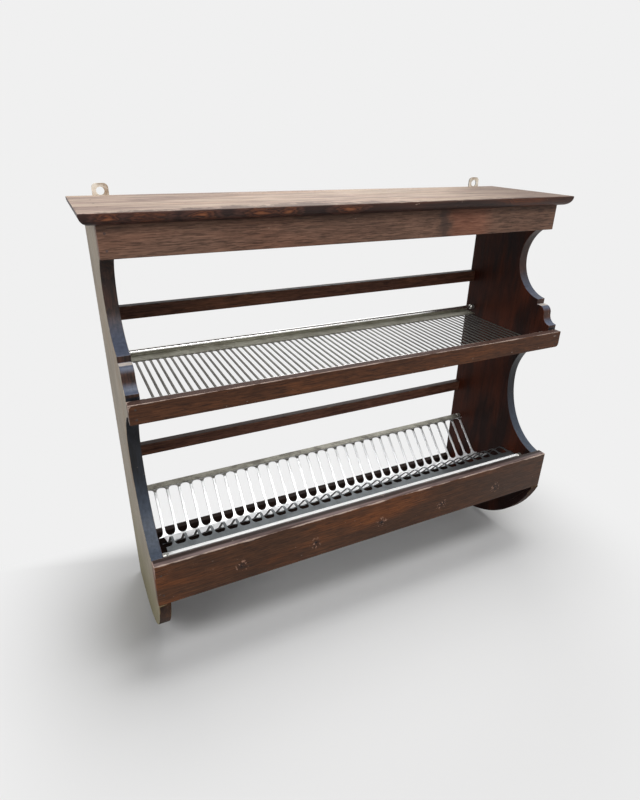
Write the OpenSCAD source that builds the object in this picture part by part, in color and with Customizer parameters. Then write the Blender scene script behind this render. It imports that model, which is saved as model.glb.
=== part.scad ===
// Wall-hung plate rack: two shaped side boards carry a moulded top board, three front boards,
// three back slats and four steel rods, on which a flat glass rack and a plate rack rest.
//
// Frame: X runs along the wall with 0 midway between the two hanger holes, the wall is Y = 0 with
// the front towards -Y, and Z = 0 is the height of the hanger holes.
// Depths are counted forward from the back edge of the side boards, heights up from their feet.

/* [Carcase] */
// width over the two side boards
carcase_w = 1000; // [700:10:1300]
// height of the side boards
carcase_h = 906; // [890:1:960]
// thickness of the side boards
side_t = 24; // [18:1:30]
// depth of the head, frieze board included
head_d = 231; // [222:1:240]
// depth of the side boards behind the middle rail
nose_d = 298; // [292:1:306]
// depth of the side boards behind the bottom board
toe_d = 329; // [322:1:336]

/* [Top board] */
// thickness of the top board
top_t = 20; // [16:1:26]
// how far the top board stands out past each side board
top_over_end = 25; // [18:1:40]
// how far the top board stands out past the frieze board
top_over_front = 21; // [18:1:35]
// how far the top board stands out past the back of the side boards
top_over_back = 19; // [6:1:30]
// straight arris above the quarter round of the front and the ends
top_arris = 3; // [1:0.5:6]

/* [Front boards] */
// height of the frieze board under the top board
frieze_h = 55; // [40:1:60]
// thickness of the frieze board
frieze_t = 24; // [15:1:28]
// height of the middle rail
mid_rail_h = 38; // [30:1:44]
// thickness of the middle rail
mid_rail_t = 18; // [14:1:24]
// height of the middle rail's underside above the feet
mid_rail_up = 589; // [584:1:592]
// height of the bottom board
bottom_h = 99; // [80:1:102]
// thickness of the bottom board
bottom_t = 22; // [16:1:28]
// height of the bottom board's underside above the feet
bottom_up = 206; // [200:1:212]
// rounding of the front arrises of the middle rail and the bottom board
board_ease = 4; // [1:0.5:6]

/* [Side board outline] */
// radius of the upper scoop
scoop_r = 86.5; // [80:0.5:90]
// depth at which the upper scoop has its centre
scoop_d = 257; // [252:1:262]
// drop from the top board down to that centre
scoop_drop = 128.5; // [124:0.5:134]
// depth of the small step under the upper scoop
step_d = 249.5; // [246:0.5:252]
// depth of the ledge below that step
ledge_d = 258; // [254:0.5:264]
// height of the ledge above the feet
ledge_up = 679; // [674:1:684]
// radius of the moulding's convex half under the ledge
ovolo_r = 18; // [14:0.5:20]
// height at which the lower scoop is deepest
bay_up = 470; // [464:1:476]
// depth of the lower scoop's centre
bay_d = 341; // [338:1:350]
// how deep the lower scoop cuts in from that centre
bay_cut = 137; // [120:1:150]
// how far above the middle rail's underside the lower scoop begins
bay_start = 7.5; // [2:0.5:20]
// how far below the bottom board's top the lower scoop ends
bay_stop = 5.5; // [2:0.5:12]
// how far below the bottom board the rounded front of the foot begins
foot_step = 4; // [1:0.5:10]
// length of the straight foot that stands at the back
foot_flat = 71; // [60:1:80]

/* [Back slats] */
// thickness of the back slats
slat_t = 18; // [12:1:22]
// how far the slats are let into each side board
slat_let_in = 12; // [6:1:15]
// height of the upper slat
slat_upper_h = 28.5; // [20:0.5:40]
// height of the upper slat's underside above the feet
slat_upper_up = 683.5; // [660:0.5:720]
// height of the lower slat
slat_lower_h = 28.5; // [20:0.5:40]
// height of the lower slat's underside above the feet
slat_lower_up = 351.5; // [320:0.5:400]
// height of the rail across the back of the feet
foot_rail_h = 70.5; // [30:0.5:100]
// height of that rail's underside above the feet
foot_rail_up = 50; // [30:0.5:110]

/* [Rods and bushes] */
// diameter of the four rods
rod_d = 7; // [5:0.5:8]
// play between a rod and whatever goes round it, measured on the radius
rod_play = 0.05; // [0.03:0.01:0.1]
// how deep the rod ends go into the side boards
rod_let_in = 9; // [5:1:14]
// diameter of the bushes on the rod ends
bush_d = 12.5; // [11:0.5:14]
// length of the bushes
bush_len = 12; // [6:1:14]
// rounding of the bushes' open end
bush_round = 2.5; // [0.5:0.5:2.5]
// play between a rack's end and the bush beside it
rack_play = 2.5; // [1:0.5:6]
// thickness of the racks' sheet metal
sheet_t = 1.2; // [0.8:0.1:1.6]

/* [Glass rack] */
// height of the upper rods above the feet
upper_rod_up = 614; // [610:1:618]
// depth of the upper back rod
upper_rod_back_d = 28; // [26:1:34]
// distance from the middle rail's back to the axis of the upper front rod
upper_rod_gap = 14; // [10:1:30]
// drop from the rods' axis to the top of the flat sheet
upper_drop = 6.5; // [5:0.5:8]
// width of the plain strip along the back edge
upper_back_strip = 36; // [25:1:45]
// width of the plain strip along the front edge
upper_front_strip = 13; // [10:1:45]
// distance from one bar of the glass rack to the next
upper_pitch = 14.47; // [12:0.01:20]
// width of a bar of the glass rack
upper_bar_w = 5.2; // [3:0.1:6]
// thickness of a bar of the glass rack
upper_bar_t = 2.4; // [1.8:0.1:4]
// from the left end of the glass rack to its first bar
upper_first = 13.4; // [6:0.1:20]
// least distance from its last bar to its right end
upper_last = 16; // [4:0.5:20]

/* [Plate rack] */
// height of the lower rods above the feet
lower_rod_up = 274; // [270:1:278]
// depth of the lower back rod
lower_rod_back_d = 37; // [30:1:40]
// distance from the bottom board's back to the axis of the lower front rod
lower_rod_gap = 37; // [28:1:44]
// width of the flat strip in front of the back rod
lower_strip = 19.5; // [10:0.5:24]
// radius of the bend below that strip
bend_r = 14; // [8:1:18]
// slope of the back of the trough
back_slope = 45; // [40:1:50]
// drop from the rods' axis to the trough's bottom
trough_drop = 74; // [66:0.5:79]
// slope of the plain sheet at the front of the trough
front_slope = 25.9; // [22:0.1:30]
// share of the way from the trough's bottom to the front rod that is plain sheet
apron_share = 0.343; // [0.33:0.001:0.36]
// height of the flat front strip's top above the rods' axis
hoop_rise = 3; // [2:0.5:4]
// radius of the hoops' crest
hoop_r = 25; // [22:0.5:28]
// distance from the plain sheet's upper edge forward to the hoops' crest
hoop_reach = 55; // [51:0.5:60]
// angle up from the horizontal at which the round part of a hoop begins
hoop_start = 40; // [35:1:45]
// width of the flat strip behind the front rod
front_strip = 17.5; // [12:0.5:32]
// distance from one bar of the plate rack to the next
lower_pitch = 28.15; // [24:0.01:36]
// width of a sloping bar at the back
bar_w = 6.4; // [4:0.1:9]
// thickness of a sloping bar
bar_t = 2.4; // [1.8:0.1:4]
// width of a hoop at the front
hoop_w = 6; // [4:0.5:9]
// from the left end of the plate rack to its first bar
lower_first = 17; // [8:0.1:22]
// least distance from its last bar to its right end
lower_last = 5; // [5:0.5:16]

/* [Hanger plates] */
// distance from a side board's outer face to the hanger hole beside it
hanger_inset = 39; // [20:1:200]
// width of a hanger plate
hanger_w = 31; // [26:1:40]
// height of a hanger plate above the centre of its hole
hanger_crown = 14.2; // [12.5:0.1:18]
// rounding of a hanger plate's two upper corners
hanger_shoulder = 9; // [6:0.5:12]
// thickness of a hanger plate
hanger_t = 2; // [1.5:0.5:3]
// radius of a hanger hole
hanger_hole_r = 7.5; // [4:0.1:9]
// height of the hanger holes above the top board
hanger_rise = 8; // [4:0.5:14]
// how far a hanger plate reaches down the back of the top board
hanger_lap = 17; // [14:0.5:19]
// distance between the two screws of a hanger plate
screw_spacing = 18; // [12:0.5:22]

/* [Fasteners] */
// diameter of a nail's shank
nail_d = 2.4; // [1.5:0.1:3]
// diameter of a nail's head
nail_head_d = 4.4; // [4:0.1:6]
// length of the nails
nail_len = 45; // [42:1:50]
// diameter of the hanger screws' shank
screw_d = 3; // [2.5:0.1:4]
// diameter of the hanger screws' head
screw_head_d = 6; // [5:0.1:7]
// length of the hanger screws
screw_len = 16; // [10:1:20]
// play between a fastener and its hole, measured on the radius
hole_play = 0.05; // [0.02:0.01:0.1]

/* [Hidden] */
inner_w = carcase_w - 2*side_t;
back_y = -hanger_t - top_over_back;
top_z = -hanger_rise;
head_z = top_z - top_t;
foot_z = head_z - carcase_h;
frieze_back_d = head_d - frieze_t;
hanger_spacing = carcase_w - 2*hanger_inset;
upper_rod_front_d = nose_d - upper_rod_gap;
lower_rod_front_d = toe_d - lower_rod_gap;
trough_up = lower_rod_up - trough_drop;
hoop_up = lower_rod_up + hoop_rise;

rod_r = rod_d/2;
curl_in = rod_r + rod_play;
curl_out = curl_in + sheet_t;
rack_x0 = -inner_w/2 + bush_len + rack_play;
rack_room = inner_w - 2*(bush_len + rack_play);
upper_n = 1 + floor((rack_room - upper_first - upper_last)/upper_pitch);
upper_len = upper_first + (upper_n - 1)*upper_pitch + upper_last;
lower_n = 1 + floor((rack_room - lower_first - lower_last)/lower_pitch);
lower_len = lower_first + (lower_n - 1)*lower_pitch + lower_last;

// heights of the flush heads of nails and screws, and the nails' places
nail_head_t = 1.2;
screw_head_t = 1.2;
nail_inset = side_t/2;
top_nail_inset = 60;
nail_share = 0.25;
// largest step of an outline's arcs, in degrees
arc_step = 4;
// how far a cut runs past the face that it opens
cut_past = 1;
// overlap that makes a curl and its strip one sheet
weld = 0.01;

// a point of the Y-Z outline from its depth and height
function at(d, h) = [back_y - d, foot_z + h];

// points of an arc about [cd, ch], radii rd and rh, in depth and height, from angle a to angle b
function arc(cd, ch, rd, rh, a, b) =
    let (n = max(2, ceil(abs(b - a)/arc_step)))
    [for (i = [0:n]) let (t = a + (b - a)*i/n) at(cd + rd*cos(t), ch + rh*sin(t))];

// draws a Y-Z outline and pulls it along X, from x0 on
module along_x(x0, len) {
    translate([x0, 0, 0]) rotate([90, 0, 90]) linear_extrude(len) children();
}

// outline of a board that stands on edge, its front arrises eased by r
module eased(d, h, t, tall, r) {
    p = at(d + t, h);
    translate(p) {
        translate([r, 0]) square([t - r, tall]);
        translate([0, r]) square([t - r, tall - 2*r]);
        for (z = [r, tall - r]) translate([r, z]) circle(r, $fn = 48);
    }
}

// a straight nail driven along -Z from its flush head
module nail(play = 0) {
    translate([0, 0, -nail_len - play]) cylinder(nail_len + play, r = nail_d/2 + play, $fn = 24);
    translate([0, 0, -nail_head_t]) cylinder(nail_head_t, r = nail_head_d/2 + play, $fn = 24);
}

// Fasteners' places: each list holds points on the outer face of the board that is nailed.
top_nail_depths = [top_nail_inset, head_d/2, head_d - top_nail_inset];
frieze_nail_heights = carcase_h*[1, 1] - frieze_h*[1 - nail_share, nail_share];
mid_nail_heights = mid_rail_up*[1, 1] + mid_rail_h*[nail_share, 1 - nail_share];
bottom_nail_heights = bottom_up*[1, 1] + bottom_h*[nail_share, 1 - nail_share];
slat_nail_heights = [slat_upper_up + slat_upper_h/2, slat_lower_up + slat_lower_h/2,
    foot_rail_up + foot_rail_h/2];
slat_nail_x = inner_w/2 + slat_let_in/2;

module top_nails(play = 0) {
    for (s = [-1, 1], d = top_nail_depths)
        translate([s*(carcase_w/2 - nail_inset), back_y - d, top_z]) nail(play);
}
module front_nails(front_d, heights, play = 0) {
    for (s = [-1, 1], h = heights)
        translate([s*(carcase_w/2 - nail_inset), back_y - front_d, foot_z + h]) rotate([90, 0, 0]) nail(play);
}
module back_nails(play = 0) {
    for (s = [-1, 1], h = slat_nail_heights)
        translate([s*slat_nail_x, back_y, foot_z + h]) rotate([-90, 0, 0]) nail(play);
}
module all_nail_holes() {
    top_nails(hole_play);
    front_nails(head_d, frieze_nail_heights, hole_play);
    front_nails(nose_d + mid_rail_t, mid_nail_heights, hole_play);
    front_nails(toe_d + bottom_t, bottom_nail_heights, hole_play);
    back_nails(hole_play);
}

// [depth, height] of the rods' axes
rod_axes = [[upper_rod_back_d, upper_rod_up], [upper_rod_front_d, upper_rod_up],
    [lower_rod_back_d, lower_rod_up], [lower_rod_front_d, lower_rod_up]];

module rod(k) {
    p = at(rod_axes[k][0], rod_axes[k][1]);
    translate([-inner_w/2 - rod_let_in, p[0], p[1]]) rotate([0, 90, 0])
        cylinder(inner_w + 2*rod_let_in, r = rod_r, $fn = 48);
}
module rod_holes() {
    for (a = rod_axes) {
        p = at(a[0], a[1]);
        translate([-inner_w/2 - rod_let_in, p[0], p[1]]) rotate([0, 90, 0])
            cylinder(inner_w + 2*rod_let_in, r = rod_r + rod_play, $fn = 48);
    }
}

// front and back outline of a side board, from the head down to the foot and back up
scoop_up = carcase_h - scoop_drop;
scoop_top = 180 - acos((scoop_d - frieze_back_d)/scoop_r);
scoop_end = 180 + acos((scoop_d - step_d)/scoop_r);
cove_r = nose_d - ledge_d - ovolo_r;
bay_top = asin(sqrt(1 - pow((bay_d - nose_d)/bay_cut, 2)));
bay_end = asin(sqrt(1 - pow((bay_d - toe_d)/bay_cut, 2)));
bay_rise = (mid_rail_up + bay_start - bay_up)/sin(bay_top);
bay_fall = (bay_up + bay_stop - bottom_up - bottom_h)/sin(bay_end);
toe_face_d = toe_d + bottom_t;
// the foot's quarter round leaves the flat foot level and meets the toe's front foot_step below the board
foot_front_up = bottom_up - foot_step;
foot_reach = toe_face_d - foot_flat;
foot_r = (pow(foot_reach, 2) + pow(foot_front_up, 2))/(2*foot_front_up);
foot_top = asin((foot_r - foot_front_up)/foot_r);

module side_outline() {
    polygon(concat(
        [at(0, carcase_h), at(frieze_back_d, carcase_h)],
        arc(scoop_d, scoop_up, scoop_r, scoop_r, scoop_top, scoop_end),
        [at(step_d, ledge_up), at(ledge_d, ledge_up)],
        arc(ledge_d, ledge_up - ovolo_r, ovolo_r, ovolo_r, 90, 0),
        arc(nose_d, ledge_up - ovolo_r, cove_r, cove_r, 180, 270),
        arc(bay_d, bay_up, bay_cut, bay_rise, 180 - bay_top, 180),
        arc(bay_d, bay_up, bay_cut, bay_fall, 180, 180 + bay_end),
        [at(toe_d, bottom_up), at(toe_face_d, bottom_up)],
        arc(foot_flat, foot_r, foot_r, foot_r, -foot_top, -90),
        [at(0, 0)]));
}

// housings for the slats, cut from the inner face of the side boards
module slat_housings() {
    for (s = [[slat_upper_up, slat_upper_h], [slat_lower_up, slat_lower_h], [foot_rail_up, foot_rail_h]])
        translate([-inner_w/2 - slat_let_in, back_y - slat_t, foot_z + s[0]])
            cube([inner_w + 2*slat_let_in, slat_t + cut_past, s[1]]);
}

module side_board(x0) {
    color([0.20, 0.12, 0.09]) difference() {
        along_x(x0, side_t) side_outline();
        slat_housings();
        rod_holes();
        all_nail_holes();
    }
}
module side_board_left() { side_board(-carcase_w/2); }
module side_board_right() { side_board(inner_w/2); }

// The top board is square at the back; a quarter round under the arris runs along both ends and the front.
module quarter_round_edge(x0, y0, len, tall, r) {
    intersection() {
        translate([x0, y0]) square([len, tall]);
        union() {
            translate([x0 + r, y0]) square([len, tall]);
            translate([x0, y0 + r]) square([len, tall]);
            translate([x0 + r, y0 + r]) circle(r, $fn = 96);
        }
    }
}
module top_board() {
    r = top_t - top_arris;
    w = carcase_w + 2*top_over_end;
    front = back_y - head_d - top_over_front;
    color([0.30, 0.20, 0.16]) difference() {
        intersection() {
            along_x(-w/2, w) quarter_round_edge(front, head_z, -hanger_t - front, top_t, r);
            translate([0, -hanger_t, 0]) rotate([90, 0, 0]) linear_extrude(-hanger_t - front) intersection() {
                quarter_round_edge(-w/2, head_z, w, top_t, r);
                mirror([1, 0]) quarter_round_edge(-w/2, head_z, w, top_t, r);
            }
        }
        all_nail_holes();
        hanger_screw_set(hole_play);
    }
}

module frieze_board() {
    color([0.27, 0.19, 0.17]) difference() {
        translate([-carcase_w/2, back_y - head_d, head_z - frieze_h]) cube([carcase_w, frieze_t, frieze_h]);
        all_nail_holes();
    }
}
module middle_rail() {
    color([0.28, 0.18, 0.14]) difference() {
        along_x(-carcase_w/2, carcase_w) eased(nose_d, mid_rail_up, mid_rail_t, mid_rail_h, board_ease);
        all_nail_holes();
    }
}
module bottom_board() {
    color([0.32, 0.19, 0.15]) difference() {
        along_x(-carcase_w/2, carcase_w) eased(toe_d, bottom_up, bottom_t, bottom_h, board_ease);
        all_nail_holes();
    }
}

module back_slat(up, tall) {
    color([0.21, 0.13, 0.10]) difference() {
        translate([-inner_w/2 - slat_let_in, back_y - slat_t, foot_z + up])
            cube([inner_w + 2*slat_let_in, slat_t, tall]);
        all_nail_holes();
    }
}
module back_slat_upper() { back_slat(slat_upper_up, slat_upper_h); }
module back_slat_lower() { back_slat(slat_lower_up, slat_lower_h); }
module back_rail_foot() { back_slat(foot_rail_up, foot_rail_h); }

module rod_upper_back() { color([0.62, 0.62, 0.58]) rod(0); }
module rod_upper_front() { color([0.62, 0.62, 0.58]) rod(1); }
module rod_lower_back() { color([0.62, 0.62, 0.58]) rod(2); }
module rod_lower_front() { color([0.62, 0.62, 0.58]) rod(3); }

// eight turned bushes, one on each rod end, flat against the side boards
module rod_bushes() {
    color([0.60, 0.59, 0.56]) for (s = [-1, 1], a = rod_axes) {
        p = at(a[0], a[1]);
        translate([s*inner_w/2, p[0], p[1]]) rotate([0, -s*90, 0]) rotate_extrude($fn = 48)
            polygon([[rod_r + rod_play, 0], [bush_d/2, 0], [bush_d/2, bush_len - bush_round],
                [bush_d/2 - bush_round, bush_len], [rod_r + rod_play, bush_len]]);
    }
}

// Outline of a sheet curled over a rod at [d, h]: a half tube, open below.
module curl(d, h) {
    translate(at(d, h)) difference() {
        circle(curl_out, $fn = 64);
        circle(curl_in, $fn = 64);
        translate([-2*curl_out, -2*curl_out]) square([4*curl_out, 2*curl_out]);
    }
}
// an upright or flat strip of sheet between two corners given in depth and height
module strip(d0, h0, d1, h1) {
    a = at(max(d0, d1), min(h0, h1));
    translate(a) square([abs(d1 - d0), abs(h1 - h0)]);
}

// Glass rack: a flat slotted sheet that hangs between two curled edges.
upper_sheet_up = upper_rod_up - upper_drop;
upper_slot_back_d = upper_rod_back_d + curl_in + upper_back_strip;
upper_slot_front_d = upper_rod_front_d - curl_in - upper_front_strip;

module glass_rack_edge(d, dir, strip_w) {
    color([0.50, 0.50, 0.46]) along_x(rack_x0, upper_len) {
        curl(d, upper_rod_up);
        strip(d + dir*curl_in, upper_sheet_up - sheet_t, d + dir*curl_out, upper_rod_up + weld);
        strip(d + dir*curl_in, upper_sheet_up - sheet_t, d + dir*(curl_in + strip_w), upper_sheet_up);
    }
}
module glass_rack_back_edge() { glass_rack_edge(upper_rod_back_d, 1, upper_back_strip); }
module glass_rack_front_edge() { glass_rack_edge(upper_rod_front_d, -1, upper_front_strip); }
module glass_rack_bars() {
    p = at(upper_slot_front_d, upper_sheet_up - upper_bar_t);
    color([0.55, 0.55, 0.50]) for (i = [0:upper_n - 1])
        translate([rack_x0 + upper_first + i*upper_pitch - upper_bar_w/2, p[0], p[1]])
            cube([upper_bar_w, upper_slot_front_d - upper_slot_back_d, upper_bar_t]);
}

// Plate rack: bars slope down from the back strip into a trough, and hoops rise from it to the front strip.
crest_up = lower_rod_up + curl_out;
bend_d = lower_rod_back_d + lower_strip;
// foot of the bend, then the trough's bottom straight down the slope from there
slope_d = bend_d + bend_r*sin(back_slope);
slope_up = crest_up - bend_r*(1 - cos(back_slope));
trough_d = slope_d + (slope_up - trough_up)/tan(back_slope);
apron_d = trough_d + apron_share*(lower_rod_front_d - trough_d);
apron_up = trough_up + (apron_d - trough_d)*tan(front_slope);
front_strip_d = lower_rod_front_d - curl_in - front_strip;
crest_d = apron_d + hoop_reach;
slot_w = lower_pitch - bar_w;
// how far the lip reaches up past the round ends of its notches
lip_land = 1;
lip_len = slot_w/2 + lip_land;
lip_d = trough_d - lip_len*cos(back_slope);
lip_up = trough_up + lip_len*sin(back_slope);

function lower_x(i) = rack_x0 + lower_first + i*lower_pitch;
module each_bar(w) {
    for (i = [0:lower_n - 1]) along_x(lower_x(i) - w/2, w) children();
}

module plate_rack_back_edge() {
    color([0.50, 0.50, 0.44]) along_x(rack_x0, lower_len) {
        intersection() {
            curl(lower_rod_back_d, lower_rod_up);
            translate(at(lower_rod_back_d, lower_rod_up)) square(2*curl_out);
        }
        strip(lower_rod_back_d, crest_up - sheet_t, bend_d, crest_up);
        strip(lower_rod_back_d - curl_in, lower_rod_up - curl_in,
            lower_rod_back_d - curl_out, lower_rod_up + weld);
    }
}
module plate_rack_bars() {
    inner_r = bend_r - bar_t;
    color([0.70, 0.71, 0.71]) each_bar(bar_w) polygon(concat(
        arc(bend_d, crest_up - bend_r, bend_r, bend_r, 90, 90 - back_slope),
        [at(lip_d, lip_up), at(lip_d - bar_t*sin(back_slope), lip_up - bar_t*cos(back_slope))],
        arc(bend_d, crest_up - bend_r, inner_r, inner_r, 90 - back_slope, 90)));
}
// The trough is one bend of sheet, mitred at the bottom: a notched lip behind, a plain apron in front.
trough_w = (lower_n - 1)*lower_pitch + bar_w;
mitre = (back_slope - front_slope)/2;
mitre_len = sheet_t/cos((back_slope + front_slope)/2);
trough_under = at(trough_d - mitre_len*sin(mitre), trough_up - mitre_len*cos(mitre));

module plate_rack_lip() {
    color([0.74, 0.75, 0.75]) difference() {
        along_x(lower_x(0) - bar_w/2, trough_w) polygon([at(trough_d, trough_up), trough_under,
            at(lip_d - sheet_t*sin(back_slope), lip_up - sheet_t*cos(back_slope)), at(lip_d, lip_up)]);
        for (i = [0:lower_n - 2]) {
            p = at(lip_d, lip_up);
            translate([(lower_x(i) + lower_x(i + 1))/2, p[0], p[1]]) rotate([back_slope, 0, 0])
                cylinder(4*sheet_t, r = slot_w/2, center = true, $fn = 48);
        }
    }
}
module plate_rack_apron() {
    color([0.74, 0.75, 0.75]) along_x(lower_x(0) - bar_w/2, trough_w) polygon([
        at(trough_d, trough_up), at(apron_d, apron_up),
        at(apron_d + sheet_t*sin(front_slope), apron_up - sheet_t*cos(front_slope)), trough_under]);
}
module plate_rack_hoops() {
    under_r = hoop_r - bar_t;
    f = [bar_t*sin(front_slope), bar_t*cos(front_slope)];
    color([0.68, 0.69, 0.70]) each_bar(hoop_w) polygon(concat(
        [at(apron_d, apron_up)],
        arc(crest_d, hoop_up - hoop_r, hoop_r, hoop_r, 180 - hoop_start, 90),
        [at(front_strip_d, hoop_up), at(front_strip_d, hoop_up - bar_t)],
        arc(crest_d, hoop_up - hoop_r, under_r, under_r, 90, 180 - hoop_start),
        [at(apron_d + f[0], apron_up - f[1])]));
}
module plate_rack_front_edge() {
    color([0.80, 0.81, 0.82]) along_x(rack_x0, lower_len) {
        curl(lower_rod_front_d, lower_rod_up);
        strip(front_strip_d, hoop_up - sheet_t, lower_rod_front_d - curl_in, hoop_up);
    }
}

// Hanger plates: flat brass, round-shouldered over the hole, screwed to the back edge of the top board.
module hanger_screw_set(play = 0) {
    for (s = [-1, 1], k = [-1, 1])
        translate([s*hanger_spacing/2 + k*screw_spacing/2, -hanger_t, top_z - hanger_lap/2])
            rotate([90, 0, 0]) {
            translate([0, 0, -hanger_t]) cylinder(screw_len + hanger_t, r = screw_d/2 + play, $fn = 24);
            translate([0, 0, -hanger_t]) cylinder(screw_head_t, r = screw_head_d/2 + play, $fn = 24);
        }
}
module hanger_plate(s) {
    shoulder_x = hanger_w/2 - hanger_shoulder;
    shoulder_up = hanger_crown - hanger_shoulder;
    color([0.80, 0.68, 0.42]) difference() {
        translate([s*hanger_spacing/2, 0, 0]) rotate([90, 0, 0]) linear_extrude(hanger_t) difference() {
            union() {
                for (k = [-1, 1]) translate([k*shoulder_x, shoulder_up]) circle(hanger_shoulder, $fn = 64);
                translate([-shoulder_x, 0]) square([2*shoulder_x, hanger_crown]);
                translate([-hanger_w/2, top_z - hanger_lap])
                    square([hanger_w, shoulder_up - top_z + hanger_lap]);
            }
            circle(hanger_hole_r, $fn = 64);
        }
        hanger_screw_set(hole_play);
    }
}
module hanger_plate_left() { hanger_plate(-1); }
module hanger_plate_right() { hanger_plate(1); }
module hanger_screws() { color([0.72, 0.62, 0.40]) hanger_screw_set(); }

module top_board_nails() { color([0.35, 0.33, 0.32]) top_nails(); }
module frieze_nails() { color([0.35, 0.33, 0.32]) front_nails(head_d, frieze_nail_heights); }
module middle_rail_nails() {
    color([0.35, 0.33, 0.32]) front_nails(nose_d + mid_rail_t, mid_nail_heights);
}
module bottom_board_nails() {
    color([0.35, 0.33, 0.32]) front_nails(toe_d + bottom_t, bottom_nail_heights);
}
module slat_nails() { color([0.35, 0.33, 0.32]) back_nails(); }

side_board_left();
side_board_right();
top_board();
frieze_board();
middle_rail();
bottom_board();
back_slat_upper();
back_slat_lower();
back_rail_foot();
rod_upper_back();
rod_upper_front();
rod_lower_back();
rod_lower_front();
rod_bushes();
glass_rack_back_edge();
glass_rack_bars();
glass_rack_front_edge();
plate_rack_back_edge();
plate_rack_bars();
plate_rack_lip();
plate_rack_apron();
plate_rack_hoops();
plate_rack_front_edge();
hanger_plate_left();
hanger_plate_right();
hanger_screws();
top_board_nails();
frieze_nails();
middle_rail_nails();
bottom_board_nails();
slat_nails();
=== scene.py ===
import math

import bmesh
import bpy
import numpy as np
from mathutils import Matrix, Vector


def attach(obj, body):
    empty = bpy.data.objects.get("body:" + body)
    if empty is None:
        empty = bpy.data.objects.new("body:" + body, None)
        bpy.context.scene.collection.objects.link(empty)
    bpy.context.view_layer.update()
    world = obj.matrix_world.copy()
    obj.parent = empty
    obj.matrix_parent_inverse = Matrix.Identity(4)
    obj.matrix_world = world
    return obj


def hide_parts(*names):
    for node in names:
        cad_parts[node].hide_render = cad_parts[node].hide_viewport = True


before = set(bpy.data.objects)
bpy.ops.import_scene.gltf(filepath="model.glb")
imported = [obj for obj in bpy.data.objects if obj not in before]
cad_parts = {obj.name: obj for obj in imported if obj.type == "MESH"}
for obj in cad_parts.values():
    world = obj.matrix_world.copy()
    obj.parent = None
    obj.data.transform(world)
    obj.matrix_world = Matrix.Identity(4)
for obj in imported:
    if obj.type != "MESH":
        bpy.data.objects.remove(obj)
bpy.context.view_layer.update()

# Sizes, as in the part's source
MM = 0.001
CARCASE_W, CARCASE_H, SIDE_T = 1000*MM, 906*MM, 24*MM
HEAD_D, NOSE_D, TOE_D = 231*MM, 298*MM, 329*MM
TOP_T, TOP_OVER_END, TOP_OVER_FRONT, TOP_OVER_BACK, TOP_ARRIS = 20*MM, 25*MM, 21*MM, 19*MM, 3*MM
FRIEZE_H, FRIEZE_T = 55*MM, 24*MM
MID_H, MID_T, MID_UP = 38*MM, 18*MM, 589*MM
BOTTOM_H, BOTTOM_T, BOTTOM_UP = 99*MM, 22*MM, 206*MM
SCOOP_R, SCOOP_D, SCOOP_DROP = 86.5*MM, 257*MM, 128.5*MM
STEP_D, LEDGE_D, LEDGE_UP, OVOLO_R = 249.5*MM, 258*MM, 679*MM, 18*MM
BAY_UP, BAY_D, BAY_CUT, BAY_START, BAY_STOP = 470*MM, 341*MM, 137*MM, 7.5*MM, 5.5*MM
FOOT_STEP, FOOT_FLAT = 4*MM, 71*MM
SLAT_T, SLAT_H, SLAT_LET_IN = 18*MM, 28.5*MM, 12*MM
SLAT_UPPER_UP, SLAT_LOWER_UP = 683.5*MM, 351.5*MM
FOOT_RAIL_UP, FOOT_RAIL_H = 50*MM, 70.5*MM
TOP_NAIL_IN, NAIL_SHARE = 60*MM, 0.25
CURL_IN, SHEET_T = 3.55*MM, 1.2*MM
CURL_OUT = CURL_IN + SHEET_T
UPPER_ROD_UP, UPPER_BACK_D, UPPER_FRONT_D = 614*MM, 28*MM, 284*MM
UPPER_DROP, UPPER_PITCH, UPPER_BAR_W, UPPER_BAR_T = 6.5*MM, 14.47*MM, 5.2*MM, 1.8*MM
UPPER_FIRST, UPPER_LAST, UPPER_BEND_R = 13.4*MM, 16*MM, 2.2*MM
UPPER_BACK_STRIP, UPPER_FRONT_STRIP = 36*MM, 13*MM
LOWER_ROD_UP, LOWER_BACK_D, LOWER_FRONT_D = 274*MM, 37*MM, 292*MM
LOWER_STRIP, BEND_R, BACK_SLOPE, FRONT_SLOPE = 19.5*MM, 14*MM, math.radians(45), math.radians(25.9)
TROUGH_DROP, APRON_SHARE, HOOP_RISE, HOOP_R = 74*MM, 0.343, 3*MM, 25*MM
HOOP_REACH, HOOP_START, FRONT_STRIP = 55*MM, math.radians(40), 17.5*MM
LOWER_PITCH, LOWER_BAR_W, HOOP_W, LOWER_BAR_T = 28.15*MM, 6.4*MM, 6*MM, 1.8*MM
LOWER_FIRST, LOWER_LAST, LIP_MORE = 17*MM, 5*MM, 1*MM
RACK_CLEAR = 14.5*MM
HANGER_T = 2*MM

BACK_Y = -HANGER_T - TOP_OVER_BACK
TOP_Z = -8*MM
HEAD_Z = TOP_Z - TOP_T
FOOT_Z = HEAD_Z - CARCASE_H
INNER_W = CARCASE_W - 2*SIDE_T
RACK_X0, RACK_ROOM = -INNER_W/2 + RACK_CLEAR, INNER_W - 2*RACK_CLEAR
FRONT_BACK_D = HEAD_D - FRIEZE_T


def at(d, h):
    """(y, z) of a depth in front of the side boards' back and a height above their feet."""
    return BACK_Y - d, FOOT_Z + h


def sind(a):
    return math.sin(math.radians(a))


def cosd(a):
    return math.cos(math.radians(a))


def srgb(text):
    """The linear colour of a six-digit web colour."""
    v = [int(text[i:i + 2], 16)/255 for i in (0, 2, 4)]
    return tuple(c/12.92 if c <= 0.04045 else ((c + 0.055)/1.055)**2.4 for c in v) + (1.0,)


# Camera, matched to the photograph
CAM_AT = Vector((-0.57546, -1.20667, 0.10604))
CAM_YAW, CAM_PITCH, CAM_ROLL = (math.radians(a) for a in (-26.51, -25.85, 1.24))
CAM_FOCAL_PX, PHOTO_W_PX, SENSOR_MM, CLIP_END = 547.24, 640, 36.0, 50.0


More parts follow.
